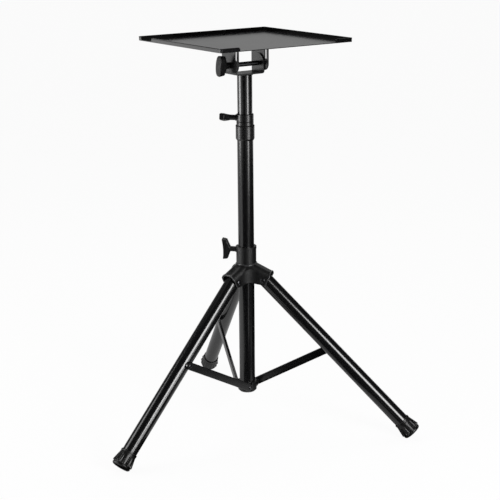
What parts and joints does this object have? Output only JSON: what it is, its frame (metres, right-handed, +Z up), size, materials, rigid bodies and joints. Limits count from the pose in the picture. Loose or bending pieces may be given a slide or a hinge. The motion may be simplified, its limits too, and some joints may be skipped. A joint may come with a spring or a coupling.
{
  "type": "portable projector stand",
  "caption": "Black folding tripod stand with a telescoping column, wing-knob clamps, strut-braced legs in ribbed rubber boots and a tilting lipped tray for a projector",
  "frame": {"origin": "on the floor under the axis of the column, with the legs spread", "axes": "+Z up along the column, +X along the tray's tilt bolt and longer side, away from the tilt knob; +Y towards the tray's whole long lip, away from its cut-away one"},
  "size_m": [0.6992, 0.7309, 0.9505],
  "materials": {
    "black_coat": "satin black powder coat",
    "gloss_coat": "gloss black enamel",
    "black_moulding": "moulded black plastic",
    "black_rubber": "ribbed black rubber",
    "dark_steel": "blackened steel"
  },
  "bodies": {
    "column": {"main_tube": "black_coat", "collar_sleeve": "black_moulding", "collar_ring": "black_moulding", "bottom_bracket": "black_moulding", "strut_pin_right": "dark_steel", "strut_pin_rear": "dark_steel", "strut_pin_left": "dark_steel"},
    "hub": {"leg_hub": "black_moulding", "leg_pin_right": "dark_steel", "leg_pin_rear": "dark_steel", "leg_pin_left": "dark_steel"},
    "mast": {"upper_tube": "gloss_coat", "yoke": "black_coat", "tilt_bolt": "dark_steel"},
    "tray": {"tray_pan": "black_coat", "tray_hanger": "black_coat"},
    "collar_clamp": {"collar_knob": "black_moulding", "collar_stud": "dark_steel"},
    "hub_clamp": {"hub_knob": "black_moulding", "hub_stud": "dark_steel"},
    "tilt_clamp": {"tilt_knob": "black_moulding"},
    "leg_right": {"leg_tube_right": "black_coat", "boot_right": "black_rubber"},
    "leg_rear": {"leg_tube_rear": "black_coat", "boot_rear": "black_rubber"},
    "leg_left": {"leg_tube_left": "black_coat", "boot_left": "black_rubber"},
    "strut_right": {"strut_right": "black_coat", "strut_screw_right": "dark_steel"},
    "strut_rear": {"strut_rear": "black_coat", "strut_screw_rear": "dark_steel"},
    "strut_left": {"strut_left": "black_coat", "strut_screw_left": "dark_steel"}
  },
  "joints": [
    {"name": "mast_slide", "type": "slide", "parent": "column", "child": "mast", "axis": [0, 0, 1], "range_m": [-0.07, 0.32]},
    {"name": "tray_tilt", "type": "hinge", "parent": "mast", "child": "tray", "pos_m": [0, 0, 0.8882], "axis": [1, 0, 0], "range_deg": [-30, 30]},
    {"name": "hub_slide", "type": "slide", "parent": "column", "child": "hub", "axis": [0, 0, 1], "range_m": [0, 0.18261]},
    {"name": "collar_knob_turn", "type": "hinge", "parent": "column", "child": "collar_clamp", "pos_m": [-0.01305, 0.01555, 0.763], "axis": [-0.6428, 0.766, 0], "continuous": true},
    {"name": "hub_knob_turn", "type": "hinge", "parent": "hub", "child": "hub_clamp", "pos_m": [-0.01543, 0.01838, 0.44445], "axis": [-0.6428, 0.766, 0], "continuous": true},
    {"name": "tilt_knob_turn", "type": "hinge", "parent": "mast", "child": "tilt_clamp", "pos_m": [-0.05, 0, 0.8882], "axis": [-1, 0, 0], "continuous": true},
    {"name": "leg_fold_right", "type": "hinge", "parent": "hub", "child": "leg_right", "pos_m": [0.02892, -0.03447, 0.37495], "axis": [0.766, 0.6428, 0], "range_deg": [0, 43.4]},
    {"name": "leg_fold_rear", "type": "hinge", "parent": "hub", "child": "leg_rear", "pos_m": [0.01539, 0.04229, 0.37495], "axis": [-0.9397, 0.342, 0], "range_deg": [0, 43.4]},
    {"name": "leg_fold_left", "type": "hinge", "parent": "hub", "child": "leg_left", "pos_m": [-0.04432, -0.00781, 0.37495], "axis": [0.1736, -0.9848, 0], "range_deg": [0, 43.4]},
    {"name": "strut_fold_right", "type": "hinge", "parent": "column", "child": "strut_right", "pos_m": [0.02498, 0.00072, 0.102], "axis": [-0.766, -0.6428, 0], "range_deg": [0, 51.57]},
    {"name": "strut_fold_rear", "type": "hinge", "parent": "column", "child": "strut_rear", "pos_m": [-0.01312, 0.02127, 0.102], "axis": [0.9397, -0.342, 0], "range_deg": [0, 51.57]},
    {"name": "strut_fold_left", "type": "hinge", "parent": "column", "child": "strut_left", "pos_m": [-0.01186, -0.02199, 0.102], "axis": [-0.1736, 0.9848, 0], "range_deg": [0, 51.57]}
  ],
  "couplings": [
    {"joint": "leg_fold_right", "follows": "hub_slide", "rad_per_m": 4.1431},
    {"joint": "leg_fold_rear", "follows": "hub_slide", "rad_per_m": 4.1431},
    {"joint": "leg_fold_left", "follows": "hub_slide", "rad_per_m": 4.1431},
    {"joint": "strut_fold_right", "follows": "hub_slide", "rad_per_m": 4.9241},
    {"joint": "strut_fold_rear", "follows": "hub_slide", "rad_per_m": 4.9241},
    {"joint": "strut_fold_left", "follows": "hub_slide", "rad_per_m": 4.9241}
  ]
}
